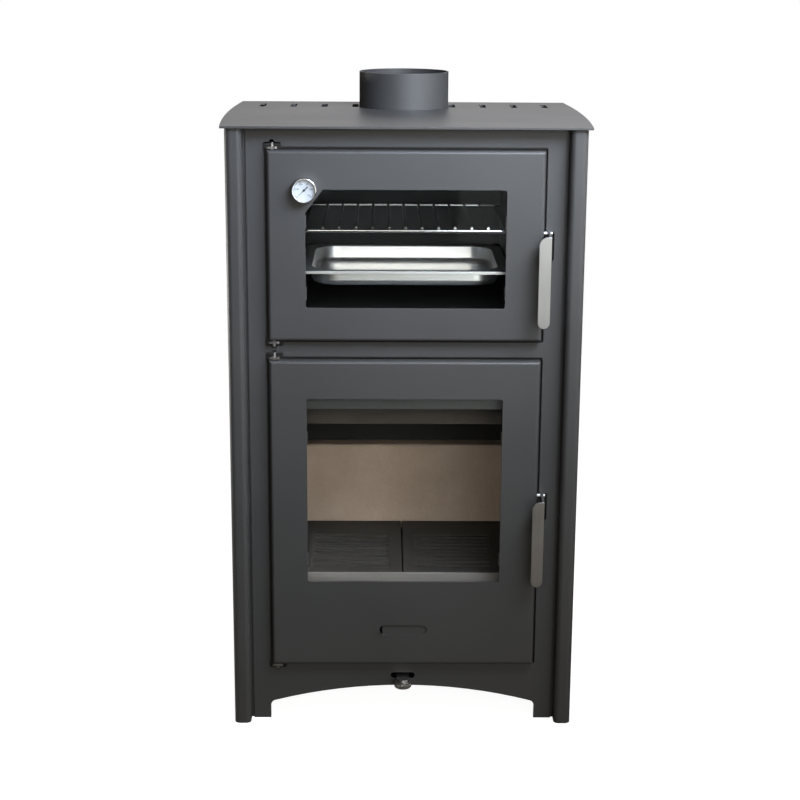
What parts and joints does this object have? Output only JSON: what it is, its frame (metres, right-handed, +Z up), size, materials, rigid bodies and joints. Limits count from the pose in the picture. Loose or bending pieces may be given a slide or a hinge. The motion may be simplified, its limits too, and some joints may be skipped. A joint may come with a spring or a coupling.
{
  "type": "wood cookstove",
  "caption": "Tall sheet-steel wood stove with a glazed oven above a glazed firebox, hook-lever door handles, bowed sides with rolled columns, arched base and a round flue collar.",
  "frame": {"origin": "centre of the bounding box on the floor", "axes": "+Z up, -Y out of the doors towards the user, +X to the user's right when facing the stove"},
  "size_m": [0.4978, 0.408, 0.888],
  "materials": {
    "casing": "matt charcoal heat-proof paint",
    "inner_steel": "matt dark steel",
    "oven_enamel": "dark glossy enamel",
    "grate_iron": "as cast",
    "bar_steel": "satin",
    "firebrick": "rough fired clay",
    "handle_steel": "satin",
    "bright_steel": "plated",
    "rack_chrome": "polished",
    "clear_glass": "clear",
    "rope": "braided glass fibre",
    "dial_white": "printed white",
    "needle_black": "black"
  },
  "bodies": {
    "stove_body": {"top_plate": "casing", "front_plate": "casing", "side_panel_right": "casing", "side_panel_left": "casing", "flue_collar": "casing", "rear_shield": "casing", "front_frame": "inner_steel", "frame_spacers": "inner_steel", "inner_side_wall_right": "inner_steel", "inner_side_wall_left": "inner_steel", "inner_back_wall": "inner_steel", "inner_roof": "inner_steel", "base_plate": "inner_steel", "ash_floor_plate": "inner_steel", "hearth_plate": "inner_steel", "firebox_back_plate": "inner_steel", "baffle_rails": "inner_steel", "side_brackets": "inner_steel", "register_guides": "inner_steel", "oven_liner": "oven_enamel", "oven_back": "oven_enamel", "oven_runners": "oven_enamel", "grate_right": "grate_iron", "grate_left": "grate_iron", "log_guard": "bar_steel", "rear_brick": "firebrick", "side_brick_right": "firebrick", "side_brick_left": "firebrick", "baffle_plate": "firebrick", "hinge_pins": "bright_steel", "hinge_lugs": "bright_steel", "shield_screws": "bright_steel"},
    "oven_door": {"oven_door_pan": "casing", "oven_glass": "clear_glass", "oven_glass_clips": "bright_steel", "oven_seal_channel": "inner_steel", "oven_rope_seal": "rope", "oven_handle_bolt": "bright_steel", "oven_handle_nut": "bright_steel", "thermometer_case": "rack_chrome", "thermometer_dial": "dial_white", "thermometer_lens": "clear_glass", "thermometer_nut": "bright_steel"},
    "thermometer_needle": {"thermometer_needle": "needle_black"},
    "oven_handle": {"oven_handle": "handle_steel"},
    "fire_door": {"fire_door_pan": "casing", "fire_glass": "clear_glass", "fire_glass_clips": "bright_steel", "fire_seal_channel": "inner_steel", "fire_rope_seal": "rope", "fire_handle_bolt": "bright_steel", "fire_handle_nut": "bright_steel", "shutter_guides": "inner_steel"},
    "fire_handle": {"fire_handle": "handle_steel"},
    "air_shutter": {"air_shutter": "casing"},
    "air_register": {"air_register": "bright_steel", "air_knob": "handle_steel"},
    "oven_rack": {"oven_rack": "rack_chrome"},
    "oven_tray": {"oven_tray": "bar_steel"},
    "ash_pan": {"ash_pan": "inner_steel"}
  },
  "joints": [
    {"name": "oven_door_swing", "type": "hinge", "parent": "stove_body", "child": "oven_door", "pos_m": [-0.176, -0.171, 0.678], "axis": [0, 0, -1], "range_deg": [0, 110]},
    {"name": "fire_door_swing", "type": "hinge", "parent": "stove_body", "child": "fire_door", "pos_m": [-0.176, -0.171, 0.305], "axis": [0, 0, -1], "range_deg": [0, 110]},
    {"name": "oven_handle_lift", "type": "hinge", "parent": "oven_door", "child": "oven_handle", "pos_m": [0.189, -0.1723, 0.696], "axis": [-1, 0, 0], "range_deg": [0, 55]},
    {"name": "fire_handle_lift", "type": "hinge", "parent": "fire_door", "child": "fire_handle", "pos_m": [0.189, -0.1723, 0.333], "axis": [-1, 0, 0], "range_deg": [0, 55]},
    {"name": "thermometer_turn", "type": "hinge", "parent": "oven_door", "child": "thermometer_needle", "pos_m": [-0.1335, -0.182, 0.754], "axis": [0, 1, 0], "range_deg": [0, 270]},
    {"name": "secondary_air_slide", "type": "slide", "parent": "fire_door", "child": "air_shutter", "axis": [1, 0, 0], "range_m": [0, 0.04]},
    {"name": "primary_air_slide", "type": "slide", "parent": "stove_body", "child": "air_register", "axis": [1, 0, 0], "range_m": [-0.007, 0.007]},
    {"name": "oven_rack_slide", "type": "slide", "parent": "stove_body", "child": "oven_rack", "axis": [0, -1, 0], "range_m": [0, 0.026]},
    {"name": "oven_tray_slide", "type": "slide", "parent": "stove_body", "child": "oven_tray", "axis": [0, -1, 0], "range_m": [0, 0.026]},
    {"name": "ash_pan_slide", "type": "slide", "parent": "stove_body", "child": "ash_pan", "axis": [0, -1, 0], "range_m": [0, 0.024]}
  ]
}
